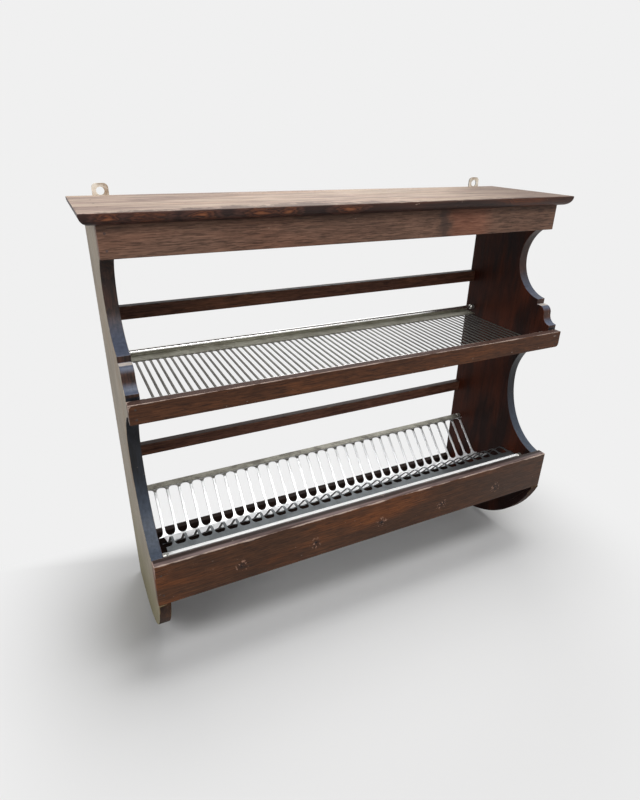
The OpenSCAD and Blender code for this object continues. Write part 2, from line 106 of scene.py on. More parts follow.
def put_in_scene(name, data):
    obj = bpy.data.objects.new(name, data)
    bpy.context.scene.collection.objects.link(obj)
    return obj


def add_camera():
    data = bpy.data.cameras.new("camera")
    cam = put_in_scene("camera", data)
    fwd = Vector((-math.sin(CAM_YAW)*math.cos(CAM_PITCH), math.cos(CAM_YAW)*math.cos(CAM_PITCH),
                  math.sin(CAM_PITCH)))
    right = fwd.cross(Vector((0, 0, 1))).normalized()
    up = right.cross(fwd)
    r = right*math.cos(CAM_ROLL) + up*math.sin(CAM_ROLL)
    u = -right*math.sin(CAM_ROLL) + up*math.cos(CAM_ROLL)
    cam.matrix_world = Matrix.Translation(CAM_AT) @ Matrix((r, u, -fwd)).transposed().to_4x4()
    data.sensor_fit = "HORIZONTAL"
    data.sensor_width = SENSOR_MM
    data.lens = CAM_FOCAL_PX*SENSOR_MM/PHOTO_W_PX
    data.clip_end = CLIP_END
    bpy.context.scene.camera = cam


# Node helpers
class Nodes:
    """Short ways to add and join shader nodes."""

    def __init__(self, tree):
        self.t = tree
        tree.nodes.clear()

    def add(self, kind, **props):
        n = self.t.nodes.new(kind)
        for k, v in props.items():
            setattr(n, k, v)
        return n

    def put(self, socket, value):
        if isinstance(value, bpy.types.NodeSocket):
            self.t.links.new(value, socket)
        else:
            socket.default_value = value

    def put_all(self, node, *values):
        for socket, v in zip(node.inputs, values):
            self.put(socket, v)

    def math(self, op, a, b=0.0, c=None, clamp=False):
        n = self.add("ShaderNodeMath", operation=op, use_clamp=clamp)
        self.put_all(n, *((a, b) if c is None else (a, b, c)))
        return n.outputs[0]

    def mul(self, a, b):
        return self.math("MULTIPLY", a, b)

    def plus(self, a, b):
        return self.math("ADD", a, b)

    def minus(self, a, b):
        return self.math("SUBTRACT", a, b)

    def mad(self, a, b, c):
        """a*b + c"""
        return self.math("MULTIPLY_ADD", a, b, c)

    def apart(self, a, b):
        return self.math("ABSOLUTE", self.minus(a, b))

    def length(self, a, b):
        """Length of a vector of two parts."""
        return self.math("SQRT", self.plus(self.mul(a, a), self.mul(b, b)))

    def mix(self, f, a, b):
        n = self.add("ShaderNodeMix", data_type="RGBA")
        for k, v in ((0, f), (6, a), (7, b)):
            self.put(n.inputs[k], v)
        return n.outputs[2]

    def mix_shaders(self, f, a, b):
        n = self.add("ShaderNodeMixShader")
        self.put_all(n, f, a, b)
        return n.outputs[0]

    def span(self, v, lo, hi, a=0.0, b=1.0):
        """A smooth step from a, where v is lo, to b, where v is hi."""
        n = self.add("ShaderNodeMapRange", interpolation_type="SMOOTHSTEP")
        self.put_all(n, v, lo, hi, a, b)
        return n.outputs[0]

    def noise(self, vec, scale, detail=3.0, rough=0.55, distortion=0.0):
        n = self.add("ShaderNodeTexNoise")
        self.put(n.inputs["Vector"], vec)
        for k, v in (("Scale", scale), ("Detail", detail), ("Roughness", rough), ("Distortion", distortion)):
            n.inputs[k].default_value = v
        return n.outputs["Fac"]

    def xyz(self, vec):
        n = self.add("ShaderNodeSeparateXYZ")
        self.put(n.inputs[0], vec)
        return n.outputs

    def vec(self, x, y, z):
        n = self.add("ShaderNodeCombineXYZ")
        self.put_all(n, x, y, z)
        return n.outputs[0]

    def ramp(self, v, stops):
        n = self.add("ShaderNodeValToRGB")
        e = n.color_ramp.elements
        while len(e) < len(stops):
            e.new(0.5)
        for el, (p, c) in zip(e, stops):
            el.position = p
            el.color = c if isinstance(c, tuple) else (c, c, c, 1)
        self.put(n.inputs[0], v)
        return n.outputs[0]

    def attr(self, name):
        return self.add("ShaderNodeAttribute", attribute_name=name).outputs["Fac"]

    def scale(self, color, gain):
        n = self.add("ShaderNodeVectorMath", operation="SCALE")
        self.put(n.inputs[0], color[:3] if isinstance(color, tuple) else color)
        self.put(n.inputs["Scale"], gain)
        return n.outputs[0]

    def normal(self):
        return self.xyz(self.add("ShaderNodeNewGeometry").outputs["Normal"])

    def bump(self, height, strength, distance):
        n = self.add("ShaderNodeBump")
        n.inputs["Strength"].default_value = strength
        n.inputs["Distance"].default_value = distance
        self.put(n.inputs["Height"], height)
        return n.outputs[0]

    def seen(self):
        """1 for rays that show the surface itself: from the camera, in a reflection or through glass."""
        out = self.add("ShaderNodeLightPath").outputs
        return self.math("MAXIMUM", out["Is Camera Ray"],
                         self.math("MAXIMUM", out["Is Glossy Ray"], out["Is Transmission Ray"]))

    def surface(self, color, rough, normal, metallic=0.0, gloss=0.5):
        p = self.add("ShaderNodeBsdfPrincipled")
        self.put(p.inputs["Base Color"], color)
        self.put(p.inputs["Roughness"], rough)
        self.put(p.inputs["Normal"], normal)
        p.inputs["Metallic"].default_value = metallic
        p.inputs["Specular IOR Level"].default_value = gloss
        self.put(self.add("ShaderNodeOutputMaterial").inputs[0], p.outputs[0])


def new_material(name):
    m = bpy.data.materials.new(name)
    m.use_nodes = True
    return m, Nodes(m.node_tree)


# Wood
def wood(name, colors, pith, grain="x", tilt=(0.0, 0.0), ring=0.006, ring_mix=0.3, wobble=(1.6, 9.0, 0.03),
         warm_at=0.62, warm_mix=0.7, wear=0.3, rough=0.5, seed=0.0, fibre_mix=0.5, streak_mix=0.6,
         fibres=(14.0, 620.0), streaks=(5.0, 150.0), gloss=0.3, chips=0.55, pores=0.35, extras=()):
    """Stained pine: growth rings round a pith that runs beside the board, fibres, stain and worn arrises.

    `colors` names the dark, the middle, the warm and the worn colour. `grain` is the axis along the board,
    `pith` the pith's place across it and `tilt` its slant, `ring` a year's width. `wobble`, `fibres` and
    `streaks` hold the scale along the board and the scale across it, and `wobble` the rings' reach as well.
    What ends in `_mix`, and `wear`, `chips` and `pores`, are strengths, and `extras` are marks of one board.
    """
    dark, mid, warm, worn = (srgb(c) for c in colors.split())
    m, n = new_material(name)
    pos = n.add("ShaderNodeTexCoord").outputs["Object"]
    x, y, z = n.xyz(pos)
    along, a, b = (x, y, z) if grain == "x" else (z, y, x)
    along = n.plus(along, seed)

    def stretched(k, across, shift=0.0):
        return n.vec(n.plus(n.mul(along, k), shift), n.mul(a, across), n.mul(b, across))

    def wander(shift):
        v = n.noise(stretched(wobble[0], wobble[1], shift), 1.0, 2.0)
        return n.mul(n.minus(v, 0.5), wobble[2])

    def from_pith(v, k):
        off = n.minus(n.minus(v, pith[k]), n.mul(along, tilt[k]))
        return n.plus(off, wander(7.3*k))

    ra, rb = from_pith(a, 0), from_pith(b, 1)
    radius = n.length(ra, rb)
    year = n.math("FRACT", n.math("DIVIDE", radius, ring))
    late = n.ramp(year, [(0.0, 0.1), (0.35, 0.2), (0.72, 0.75), (0.9, 1.0), (1.0, 0.15)])
    fibre = n.noise(stretched(*fibres), 1.0, 3.0, 0.65)
    streak = n.noise(stretched(*streaks), 1.0, 3.0, 0.6)
    cloud = n.noise(stretched(3.2, 14.0), 1.0, 3.0, 0.6)
    blot = n.noise(n.vec(along, a, b), 9.0, 4.0, 0.65)

    color = n.mix(n.mul(n.span(streak, 0.3, 0.72), min(1.0, 2.0*streak_mix)), mid, dark)
    color = n.mix(n.mul(n.span(cloud, warm_at - 0.16, warm_at + 0.12), warm_mix), color, warm)
    gain = n.mad(late, -0.62*ring_mix, 1.0 + 0.25*ring_mix)
    for field, k in ((fibre, 2.6*fibre_mix), (streak, 1.6*streak_mix), (blot, 1.0)):
        gain = n.mul(gain, n.math("MAXIMUM", n.mad(field, -k, 1.0 + 0.5*k), 0.25))
    pore = n.span(n.noise(stretched(34.0, 430.0, 3.1), 1.0, 2.0, 0.6), 0.53, 0.62)
    gain = n.mul(gain, n.mad(pore, -pores, 1.0 + 0.2*pores))
    color = n.scale(color, gain)
    height = n.plus(n.plus(n.mul(fibre, 0.35), n.mul(late, 0.25)), n.mul(blot, 0.4))
    fields = {"pos": pos, "xyz": (x, y, z), "along": along, "streak": streak, "fibre": fibre}
    for extra in extras:
        color, height = extra(n, fields, color, height)
    # arrises rubbed bare, and small chips in the stain
    edge = n.math("POWER", n.attr("wear"), 1.6)
    rub = n.noise(n.vec(n.mul(along, 0.8), n.mul(a, 2.0), n.mul(b, 2.0)), 18.0, 5.0, 0.7)
    bare = n.span(n.mad(edge, 0.55, rub), 1.12 - wear*0.45, 1.2 - wear*0.3)
    chip = n.span(n.noise(n.vec(n.mul(along, 0.4), a, b), 210.0, 2.0, 0.5), 0.735, 0.775)
    color = n.mix(n.math("MAXIMUM", n.mul(bare, 0.85), n.mul(chip, chips)), color, worn)
    height = n.minus(height, n.mul(chip, 0.8*chips))
    roughness = n.plus(n.mul(fibre, 0.16), n.mad(bare, 0.2, rough - 0.08))
    n.surface(color, roughness, n.bump(height, 0.35, 0.0012), gloss=gloss)
    return m


# the cup hooks' spacing and height; the first one is half a spacing right of -HOOK_START
HOOK_PITCH, HOOK_Z, HOOK_START = 0.1677, -0.689, 0.413
HOOK_SMUDGE, HOOK_HOLE, HOOK_CHIPS = (0.012, 0.008, 0.007, 1), (0.006, 0.004, 0.004, 1), srgb("b58a74")
# the dark smudge on the frieze board, and the red patch at its right
SMUDGE_X, RED_FROM, RED_TO = 0.183, 0.213, 0.273
# x and half width of each eye in the top board's front edge, and their half height
EDGE_EYES = ((-0.481, 0.016), (-0.424, 0.028), (-0.331, 0.022), (-0.233, 0.032), (-0.177, 0.018),
             (-0.056, 0.026))
EYE_HALF_H = 7.5*MM


def hook_scars(n, f, color, height):
    """Five places along the bottom board where a cup hook has been: a dark smudge, a hole and pale chips."""
    x, _, z = f["xyz"]
    turn = n.math("FRACT", n.math("DIVIDE", n.plus(x, HOOK_START), HOOK_PITCH))
    lx = n.mad(turn, HOOK_PITCH, -HOOK_PITCH/2)
    lz = n.minus(z, HOOK_Z)
    wig = n.mul(n.minus(n.noise(f["pos"], 160.0, 2.0), 0.5), 0.010)
    dist = n.plus(n.length(lx, lz), wig)
    near = n.mul(n.span(x, -0.42, -0.40), n.span(x, 0.40, 0.42, 1.0, 0.0))
    smudge = n.mul(n.span(dist, 0.003, 0.013, 1.0, 0.0), near)
    hole = n.mul(n.span(dist, 0.001, 0.003, 1.0, 0.0), near)
    scuff = n.mul(n.span(n.noise(f["pos"], 200.0, 2.0), 0.55, 0.66), n.span(dist, 0.009, 0.019, 1.0, 0.0))
    color = n.mix(n.mul(smudge, 0.6), color, HOOK_SMUDGE)
    color = n.mix(n.mul(n.mul(scuff, near), 0.7), color, HOOK_CHIPS)
    color = n.mix(hole, color, HOOK_HOLE)
    return color, n.minus(height, n.mul(hole, 3.0))


def top_stain(n, f, color, height):
    """Grey and tan streaks on the top, scratches, and the edge's dark stain spilt over the front arris."""
    x, y, _ = f["xyz"]
    tan = n.span(n.noise(n.vec(n.mul(x, 4.0), n.mul(y, 40.0), 0.5), 1.0, 4.0, 0.6), 0.42, 0.62)
    color = n.mix(n.mul(tan, 0.5), color, srgb("aa9b89"))
    for along, across, shift, strength in ((5.0, 150.0, 3.5, 0.5), (12.0, 60.0, 8.5, 0.45)):
        line = n.span(n.noise(n.vec(n.mul(x, along), n.mul(y, across), shift), 1.0, 3.0, 0.65), 0.56, 0.68)
        color = n.mix(n.mul(line, strength), color, srgb("554841"))
    # painted shade, darker towards the right, and brown at the right end
    color = n.scale(color, n.mad(n.span(x, 0.0, 0.5), -0.14, 1.0))
    color = n.mix(n.mul(n.span(n.mad(y, -0.6, x), 0.3, 0.62), 0.75), color, srgb("4d3d34"))
    front = BACK_Y - HEAD_D - TOP_OVER_FRONT
    ragged = n.noise(n.vec(n.mul(x, 26.0), n.mul(y, 14.0), 1.5), 1.0, 4.0, 0.75)
    wide = n.mul(n.span(x, -0.42, -0.2), n.span(x, -0.05, 0.2, 1.0, 0.0))
    reach = n.plus(n.mad(ragged, 0.15, -0.066), n.mul(wide, 0.022))
    spill = n.span(n.minus(n.minus(y, front), reach), -0.014, 0.01, 1.0, 0.0)
    return n.mix(n.mul(spill, 0.75), color, srgb("3a2b26")), height


def edge_eyes(n, f, color, height):
    """The rings of the top's front edge close round small knots and show as orange eyes in dark lines."""
    x, y, z = f["xyz"]
    loose = n.noise(n.vec(n.mul(x, 22.0), n.mul(y, 60.0), n.mul(z, 190.0)), 1.0, 4.0, 0.65)
    wig = n.mad(loose, 2.8, -1.4)
    dz = n.math("DIVIDE", n.minus(z, TOP_Z - 0.45*TOP_T), EYE_HALF_H)
    nearest = None
    for at_x, half_w in EDGE_EYES:
        d = n.length(n.math("DIVIDE", n.minus(x, at_x), half_w), dz)
        nearest = d if nearest is None else n.math("MINIMUM", nearest, d)
    d = n.plus(nearest, wig)
    rings = n.ramp(n.math("MULTIPLY", d, 0.25, clamp=True), [
        (0.0, srgb("8a5334")), (0.07, srgb("6b3d26")), (0.13, srgb("2c1713")), (0.2, srgb("623a28")),
        (0.26, srgb("28160f")), (0.36, srgb("4c3028")), (0.46, srgb("241512")), (1.0, srgb("33211d"))])
    rings = n.scale(rings, n.mad(f["fibre"], -1.3, 1.65))
    return n.mix(n.span(x, 0.05, 0.2, 0.92, 0.25), color, rings), height


def frieze_marks(n, f, color, height):
    """Reddish patches at the right of the frieze board, and a dark upright smudge beside them."""
    x = f["xyz"][0]
    xx = n.plus(x, n.mul(n.minus(n.noise(f["pos"], 30.0, 3.0), 0.5), 0.05))
    red = n.mul(n.span(xx, SMUDGE_X, RED_FROM), n.span(xx, RED_TO, RED_TO + 0.05, 1.0, 0.0))
    color = n.mix(n.mul(red, 0.3), color, n.scale(srgb("8f5038"), n.mad(f["fibre"], -1.4, 1.7)))
    off = n.apart(xx, SMUDGE_X)
    return n.mix(n.span(off, 0.004, 0.022, 0.6, 0.0), color, srgb("2a211f")), height


def facing_up(color_up, low, high, share, only_at=None):
    """A tint that grows with how far the surface faces up, everywhere or close to one height alone."""
    def tint(n, f, color, height):
        up = n.mul(n.span(n.normal()[2], low, high), share)
        if only_at is not None:
            off = n.apart(f["xyz"][2], only_at)
            up = n.mul(up, n.span(off, 3*MM, 5*MM, 1.0, 0.0))
        return n.mix(up, color, n.scale(color_up, n.mad(f["streak"], -1.2, 1.6))), height
    return tint


def grey_end(n, f, color, height):
    """The bottom board grows darker and greyer to its right end, with pale scratches."""
    x, _, z = f["xyz"]
    color = n.mix(n.mul(n.span(x, 0.15, 0.5), 0.6), color,
                  n.scale(srgb("3a2f28"), n.mad(f["fibre"], -1.2, 1.6)))
    line = n.noise(n.vec(n.mul(x, 60.0), n.mul(z, 60.0), 5.0), 1.0, 2.0, 0.5, 3.0)
    thin = n.span(n.apart(line, 0.5), 0.0, 0.004, 1.0, 0.0)
    some = n.span(n.noise(f["pos"], 14.0, 2.0), 0.56, 0.64)
    return n.mix(n.mul(n.mul(thin, some), 0.5), color, srgb("94806f")), height


def board_top(n, f, color, height):
    """The bottom board's upper face: nearly black along the rack, a painted shade, and grey-brown and rubbed
    towards the front.
    """
    up = n.span(n.normal()[2], 0.6, 0.9)
    front = BACK_Y - TOE_D - BOTTOM_T
    # painted shade: the back of the upper face, along the rack, goes nearly black
    back = n.span(n.minus(f["xyz"][1], front), 8*MM, 13*MM)
    patch = n.noise(n.vec(n.mul(f["along"], 6.0), n.mul(f["xyz"][1], 90.0), 2.0), 1.0, 4.0, 0.65)
    tint = n.mix(n.span(patch, 0.35, 0.62), srgb("453532"), srgb("776866"))
    tint = n.mix(n.mul(back, 0.85), tint, srgb("15100f"))
    return n.mix(n.mul(up, 0.92), color, tint), height


def back_face_shade(n, f, color, height):
    """Painted shade: the back of a front board, facing into the cabinet, is nearly black."""
    return n.mix(n.span(n.normal()[1], 0.4, 0.8, 0.0, 0.9), color, srgb("150d0b")), height


def by_height(color_at, z0, z1, share):
    """A tint that grows from height z0 to height z1."""
    def tint(n, f, color, height):
        k = n.mul(n.span(f["xyz"][2], z0, z1), share)
        return n.mix(k, color, n.scale(color_at, n.mad(f["streak"], -1.0, 1.5))), height
    return tint


# Metal
# the colours of dark spots, and of painted shade: on the bars' cut edges, in the bend (a painted dark
# reflection) and on what faces down
SPOT, SIDE_SHADE = (0.05, 0.045, 0.035, 1), (0.03, 0.032, 0.03, 1)
BEND_SHADE, DOWN_SHADE = (0.05, 0.045, 0.03, 1), (0.04, 0.035, 0.03, 1)


def metal(name, base, tarnish, amount, rough, grain="x", metallic=0.9, spots=0.3, bump=0.15, side_shade=0.0,
          bend=0.0, down_shade=0.0, down_shade_at=(-0.2, 0.4), fine=900.0):
    """Sheet metal with drawn lines, dull tarnish in patches and dark spots.

    `side_shade` paints shade on the bars' cut edges, `bend` paints a dark reflection into the bend at the top
    of the slope, and `down_shade` paints shade on what faces down: it fades out as the normal's z goes from the
    first number of `down_shade_at` to the second. `fine` is the scale of the drawn lines across them.
    """
    m, n = new_material(name)
    pos = n.add("ShaderNodeTexCoord").outputs["Object"]
    k = (12.0, fine, fine) if grain == "x" else (fine, 30.0, 30.0)
    lines = n.noise(n.vec(*(n.mul(v, w) for v, w in zip(n.xyz(pos), k))), 1.0, 3.0, 0.6)
    patch = n.noise(pos, 26.0, 5.0, 0.65)
    small = n.noise(pos, 320.0, 2.0, 0.5)
    color = n.mix(n.mul(n.span(patch, 0.38, 0.66), amount), base, tarnish)
    color = n.scale(color, n.mad(lines, -0.3, 1.1))
    color = n.mix(n.mul(n.span(small, 0.62, 0.74), spots), color, SPOT)
    nx, ny, nz = n.normal()
    # painted shade on the cut edges, the faces that look along x
    if side_shade:
        cut = n.span(n.math("ABSOLUTE", nx), 0.25, 0.7)
        color = n.mix(n.mul(cut, side_shade), color, SIDE_SHADE)
    # painted dark reflection in the bend at the top of the slope
    if bend:
        lean = n.math("ARCTAN2", n.mul(ny, -1.0), nz)
        turn = n.mul(n.span(lean, math.radians(3), math.radians(14)),
                     n.span(lean, math.radians(30), math.radians(43), 1.0, 0.0))
        color = n.mix(n.mul(turn, bend), color, BEND_SHADE)
    # painted shade on what faces down
    if down_shade:
        color = n.mix(n.mul(n.span(nz, *down_shade_at, 1.0, 0.0), down_shade), color, DOWN_SHADE)
    roughness = n.plus(n.mul(patch, 0.25), n.mad(lines, 0.1, rough - 0.17))
    n.surface(color, roughness, n.bump(n.plus(lines, n.mul(patch, 1.5)), bump, 0.0004), metallic=metallic)
    return m


# Mesh helpers
SMOOTH_BELOW, ARRIS_ABOVE = math.radians(38), math.radians(25)
SUPPORT, CAP_INSET, LEAST_STEP = 6*MM, 4*MM, 0.4*MM


def finish_piece(name, bm, materials, body, nodes, wear=None):
    """The mesh as an object of the scene on its body, smooth but for its sharp edges, in place of CAD nodes."""
    bmesh.ops.recalc_face_normals(bm, faces=bm.faces)
    for f in bm.faces:
        f.smooth = True
    for e in bm.edges:
        e.smooth = len(e.link_faces) != 2 or e.calc_face_angle(0) < SMOOTH_BELOW
    mesh = bpy.data.meshes.new(name)
    bm.to_mesh(mesh)
    bm.free()
    for m in materials:
        mesh.materials.append(m)
    if wear is not None:
        att = mesh.attributes.new("wear", "FLOAT", "POINT")
        att.data.foreach_set("value", wear(np.array([v.co for v in mesh.vertices])))
    obj = put_in_scene(name, mesh)
    weigh = obj.modifiers.new("face_weighted_normals", "WEIGHTED_NORMAL")
    weigh.keep_sharp = True
    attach(obj, body)
    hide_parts(*nodes)


def segment_distance(points, segs):
    """Least distance of each point to a list of segments."""
    best = np.full(len(points), 1e9)
    for p, q in segs:
        d = q - p
        t = np.clip(((points - p) @ d)/max(d @ d, 1e-12), 0, 1)
        best = np.minimum(best, np.linalg.norm(points - (p + t[:, None]*d), axis=1))
    return best


def between(p, q, f):
    """The point at the share f of the way from p to q."""
    return p[0] + (q[0] - p[0])*f, p[1] + (q[1] - p[1])*f


def with_supports(outline):
    """The outline with points SUPPORT away from the corners of its long straight edges."""
    out = []
    for p, q in zip(outline, outline[1:] + outline[:1]):
        out.append(p)
        d = math.dist(p, q)
        if d > 2.6*SUPPORT:
            for s in (SUPPORT/d, 1 - SUPPORT/d):
                out.append(between(p, q, s))
    return out


def closed_band(bm, a, b):
    """Faces between two closed rings of vertices."""
    for i in range(len(a)):
        j = (i + 1) % len(a)
        bm.faces.new((a[j], a[i], b[i], b[j]))


def eased_board(name, outline, x0, x1, ease, materials, pick=None, extra=None, worn_at=None,
                wear_gain=None):
    """A board drawn as a Y-Z outline and pulled from x0 to x1, every arris eased.

    `pick` gives a face's material, `extra` works on the mesh before its arrises are eased, `worn_at` adds wear
    at points of the surface and `wear_gain` scales the wear of the arrises.
    """
    bm = bmesh.new()
    outline = with_supports(outline)
    rings = [[bm.verts.new((x, p[0], p[1])) for p in outline] for x in (x0, x0 + SUPPORT, x1 - SUPPORT, x1)]
    bm.faces.new(rings[0])
    bm.faces.new(list(reversed(rings[-1])))
    for a, b in zip(rings, rings[1:]):
        closed_band(bm, a, b)
    bmesh.ops.recalc_face_normals(bm, faces=bm.faces)

    def arrises():
        return [e for e in bm.edges if e.calc_face_angle(0) > ARRIS_ABOVE]

    segs = [(np.array(e.verts[0].co), np.array(e.verts[1].co)) for e in arrises()]
    if extra:
        extra(bm)
    bmesh.ops.bevel(bm, geom=arrises(), offset=ease, segments=3, profile=0.5, affect="EDGES",
                    clamp_overlap=True)
    caps = [f for f in bm.faces if abs(f.normal.x) > 0.99 and len(f.verts) > 8]
    bmesh.ops.inset_individual(bm, faces=caps, thickness=CAP_INSET, use_even_offset=True)
    bmesh.ops.triangulate(bm, faces=[f for f in bm.faces if len(f.verts) > 4], ngon_method="BEAUTY")
    if pick:
        for f in bm.faces:
            f.material_index = pick(f.normal, f.calc_center_median())

    def wear(p):
        w = np.clip(1 - segment_distance(p, segs)/SUPPORT, 0, 1)
        if wear_gain:
            w = w*wear_gain(p)
        return np.maximum(w, worn_at(p)) if worn_at else w

    finish_piece(name, bm, materials, "cabinet", [name], wear)


def rect(d0, d1, h0, h1):
    (y1, z0), (y0, z1) = at(d0, h0), at(d1, h1)
    return [(y0, z0), (y1, z0), (y1, z1), (y0, z1)]


def arc(cd, ch, rd, rh, a, b, step=3.0):
    n = max(2, math.ceil(abs(b - a)/step))
    return [at(cd + rd*cosd(t), ch + rh*sind(t)) for t in (a + (b - a)*i/n for i in range(n + 1))]


def side_outline():
    scoop_up = CARCASE_H - SCOOP_DROP
    scoop_top = 180 - math.degrees(math.acos((SCOOP_D - FRONT_BACK_D)/SCOOP_R))
    scoop_end = 180 + math.degrees(math.acos((SCOOP_D - STEP_D)/SCOOP_R))
    cove_r = NOSE_D - LEDGE_D - OVOLO_R
    bay_top = math.degrees(math.asin(math.sqrt(1 - ((BAY_D - NOSE_D)/BAY_CUT)**2)))
    bay_end = math.degrees(math.asin(math.sqrt(1 - ((BAY_D - TOE_D)/BAY_CUT)**2)))
    bay_rise = (MID_UP + BAY_START - BAY_UP)/sind(bay_top)
    bay_fall = (BAY_UP + BAY_STOP - BOTTOM_UP - BOTTOM_H)/sind(bay_end)
    toe_face = TOE_D + BOTTOM_T
    front_up = BOTTOM_UP - FOOT_STEP
    reach = toe_face - FOOT_FLAT
    foot_r = (reach**2 + front_up**2)/(2*front_up)
    foot_top = math.degrees(math.asin((foot_r - front_up)/foot_r))
    pts = [at(0, CARCASE_H), at(FRONT_BACK_D, CARCASE_H)]
    pts += arc(SCOOP_D, scoop_up, SCOOP_R, SCOOP_R, scoop_top, scoop_end)
    pts += [at(STEP_D, LEDGE_UP), at(LEDGE_D, LEDGE_UP)]
    pts += arc(LEDGE_D, LEDGE_UP - OVOLO_R, OVOLO_R, OVOLO_R, 90, 0, 9)[1:]
    pts += arc(NOSE_D, LEDGE_UP - OVOLO_R, cove_r, cove_r, 180, 270, 9)
    pts += arc(BAY_D, BAY_UP, BAY_CUT, bay_rise, 180 - bay_top, 180)
    pts += arc(BAY_D, BAY_UP, BAY_CUT, bay_fall, 180, 180 + bay_end)[1:]
    pts += [at(TOE_D, BOTTOM_UP), at(toe_face, BOTTOM_UP)]
    pts += arc(FOOT_FLAT, foot_r, foot_r, foot_r, -foot_top, -90)
    pts += [at(0, 0)]
    clean = []
    for p in pts:
        if not clean or math.dist(p, clean[-1]) > LEAST_STEP:
            clean.append(p)
    return clean


# Wooden pieces
SIDE_EASE, FRIEZE_EASE, FRONT_EASE, SLAT_EASE, TOP_EASE = 1.3*MM, 1.2*MM, 2.6*MM, 1.5*MM, 1.6*MM
CORNER_R, UPPER_BAND, BACK_BAND, FOOT_WORN = 9*MM, 10*MM, 20*MM, 14*MM
TOUCH = 0.1*MM


